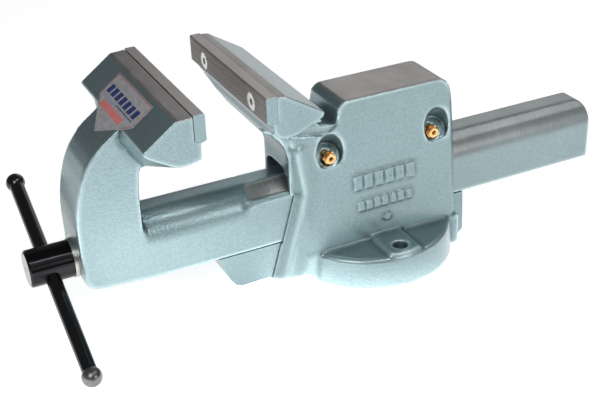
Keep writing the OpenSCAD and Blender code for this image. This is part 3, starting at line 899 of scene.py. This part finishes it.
def flat_shape(bm, points, place):
    """A thin flat tile with its outline, in mm, in the label's plane."""
    lower, upper = ([bm.verts.new(place @ Vector((x * MM, y * MM, z))) for x, y in points]
                    for z in (0, PRINT_T))
    bm.faces.new(upper)
    bm.faces.new(lower[::-1])
    skin(bm, [lower, upper], closed=True)


def block(x0, y0, x1, y1, lean=0.0):
    """Corners of a block whose top leans to the right."""
    return [(x0, y0), (x1, y0), (x1 + lean, y1), (x0 + lean, y1)]


def label_blocks():
    """A row of seven plain blocks with a thin line below it."""
    left, pitch, width, height = -33, 9.4, 6.6, 7.5
    row = [left + pitch * i for i in range(7)]
    return ([block(x, PRINT_ROW - height, x + width, PRINT_ROW, 1.5) for x in row]
            + [block(-4, PRINT_ROW - 10, 31, PRINT_ROW - 9.2)])


def label_border():
    """A thin band along the label's five-sided outline."""
    outline = [(-36.6, -0.9), (-36.6, -21.6), (0, -42.9), (36.6, -21.6), (36.6, -0.9)]
    border = []
    for start, end in zip(outline, outline[1:] + outline[:1]):
        start, end = Vector(start), Vector(end)
        along = (end - start).normalized()
        out = Vector((-along.y, along.x)) * BORDER_HALF
        border.append([start - out, end - out, end + out, start + out])
    return border


def make_label():
    """Plain printed marks on the label: a row of blocks, two thin lines, one band and a border."""
    prints = (
        ("label_blue", label_blocks(), (0.02, 0.04, 0.17, 1), (0.03, 0.055, 0.22, 1)),
        ("label_pale", [block(-34, PRINT_ROW - 10.6, -2, PRINT_ROW - 9.4)],
         (0.30, 0.36, 0.62, 1), (0.34, 0.40, 0.66, 1)),
        ("label_red", [block(-25, PRINT_ROW - 18.5, 19, PRINT_ROW - 12.8, 1.0)],
         (0.80, 0.22, 0.22, 1), (0.85, 0.27, 0.27, 1)),
        ("label_border", label_border(), (0.45, 0.16, 0.17, 1), (0.5, 0.2, 0.2, 1)),
    )
    face = label_frame()
    for name, shapes, colour, shade in prints:
        bm = bmesh.new()
        for points in shapes:
            flat_shape(bm, points, face)
        bmesh.ops.recalc_face_normals(bm, faces=bm.faces)
        mark = add_object(name, to_mesh(bm, name))
        finish_piece(mark, "sliding_jaw", [printed_film(name, colour, shade)], smooth=False)


# ---------------------------------------------------------------- scene

def make_stage():
    bpy.ops.mesh.primitive_plane_add(size=30, location=(0, 0, 0))
    floor = bpy.context.object
    floor.name = "floor"
    floor.data.materials.append(floor_paper())


def area_light(name, place, target, size, power):
    data = bpy.data.lights.new(name, "AREA")
    data.shape = "RECTANGLE"
    data.size, data.size_y = size
    data.energy = power
    obj = bpy.data.objects.new(name, data)
    bpy.context.scene.collection.objects.link(obj)
    obj.location = place
    obj.rotation_mode = "QUATERNION"
    obj.rotation_quaternion = (Vector(target) - Vector(place)).to_track_quat("-Z", "Y")


def make_lights():
    """Large soft lights round the vise; over and streak give the narrow highlights on turned steel."""
    middle = (0, -0.03, 0.1)
    head = (0, -0.28, 0.067)
    area_light("back", (-1.5, 1.2, 1.1), middle, (1.8, 1.2), 5.5)
    area_light("key", (0.42, -0.5, 0.5), (0.22, -0.3, 0), (0.3, 0.3), 1.5)
    area_light("side", (1.5, 0.6, 0.7), middle, (0.6, 0.45), 5)
    area_light("top", (0.25, 0.86, 1.15), (0.02, 0.2, 0.09), (0.4, 0.3), 1.1)
    area_light("over", (0.46, 0.26, 1.1), (0.02, -0.15, 0.09), (0.4, 0.12), 1.8)
    area_light("streak", (0.64, -0.09, 1.13), head, (0.3, 0.05), 0.9)
    world = bpy.data.worlds.new("studio")
    world.use_nodes = True
    background = next(n for n in world.node_tree.nodes if n.type == "BACKGROUND")
    background.inputs["Color"].default_value = (0.95, 0.97, 1.0, 1)
    background.inputs["Strength"].default_value = 0.14
    bpy.context.scene.world = world
    bpy.context.scene.view_settings.view_transform = "Standard"


def make_camera():
    """The camera: azimuth 0 looks along +Y, 90 along -X."""
    a, e, roll = (math.radians(v) for v in (CAMERA_AZIMUTH, CAMERA_ELEVATION, CAMERA_ROLL))
    ahead = Vector((-math.sin(a) * math.cos(e), math.cos(a) * math.cos(e), -math.sin(e)))
    right = Vector((math.cos(a), math.sin(a), 0))
    up = right.cross(ahead)
    x_axis = right * math.cos(roll) + up * math.sin(roll)
    y_axis = -right * math.sin(roll) + up * math.cos(roll)
    turn = Matrix((x_axis, y_axis, -ahead)).transposed().to_4x4()
    data = bpy.data.cameras.new("camera")
    data.lens = CAMERA_LENS
    data.clip_start, data.clip_end = 0.01, 100
    camera = bpy.data.objects.new("camera", data)
    camera.matrix_world = Matrix.Translation(CAMERA_PLACE) @ turn
    bpy.context.scene.collection.objects.link(camera)
    bpy.context.scene.camera = camera


def paint_cad_nodes(looks):
    """Gives the CAD nodes that stay in view their materials."""
    for node, material in looks.items():
        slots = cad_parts[node].data.materials
        for i in range(len(slots)):
            slots[i] = material


def main():
    paint = hammertone("hammertone_paint")
    steel = knurled_steel()
    black = plain_metal("black_oxide", (0.022, 0.022, 0.025, 1), (0.006, 0.006, 0.008, 1), 0.16, 0.9,
                        coat=0.8, scale=1200.0)
    bright = plain_metal("turned_steel", (0.55, 0.54, 0.52, 1), (0.38, 0.37, 0.355, 1), 0.28)
    screw_steel = plain_metal("screw_steel", (0.78, 0.79, 0.78, 1), (0.60, 0.60, 0.59, 1), 0.3)
    worn = plain_metal("worn_black", (0.20, 0.195, 0.19, 1), (0.045, 0.045, 0.048, 1), 0.25, 0.9, scale=110.0)
    brass = plain_metal("nipple_brass", (0.95, 0.62, 0.30, 1), (0.80, 0.46, 0.18, 1), 0.25)
    bronze = plain_metal("bronze", (0.62, 0.42, 0.22, 1), (0.42, 0.27, 0.13, 1), 0.34)
    film = printed_film("label_film", (0.50, 0.50, 0.51, 1), (0.38, 0.38, 0.39, 1))

    make_body(paint)
    make_jaw(paint)
    make_ornament(paint)
    make_rail(paint)
    make_jaw_plate("fixed", "fixed_body", steel, paint, -1)
    make_jaw_plate("moving", "sliding_jaw", steel, paint, 1)
    make_spindle(turned_black(), bright)
    make_spring(bright)
    make_nipples(brass, black)
    make_label()
    paint_cad_nodes({
        "fixed_jaw_screws": screw_steel, "moving_jaw_screws": screw_steel,
        "rail_screws": black, "nut_bolts": black, "bush_pin": black,
        "nut_dowels": bright, "thrust_washer": bright, "retaining_collar": bright,
        "collar_pin": bright, "detent_ball": bright, "detent_screw": bright,
        "spindle_nut": bronze, "spindle_bush": bronze,
        "jaw_label": film,
        "handle_rod": black, "handle_ball_upper": black, "handle_ball_lower": worn,
    })
    make_stage()
    make_lights()
    make_camera()


main()
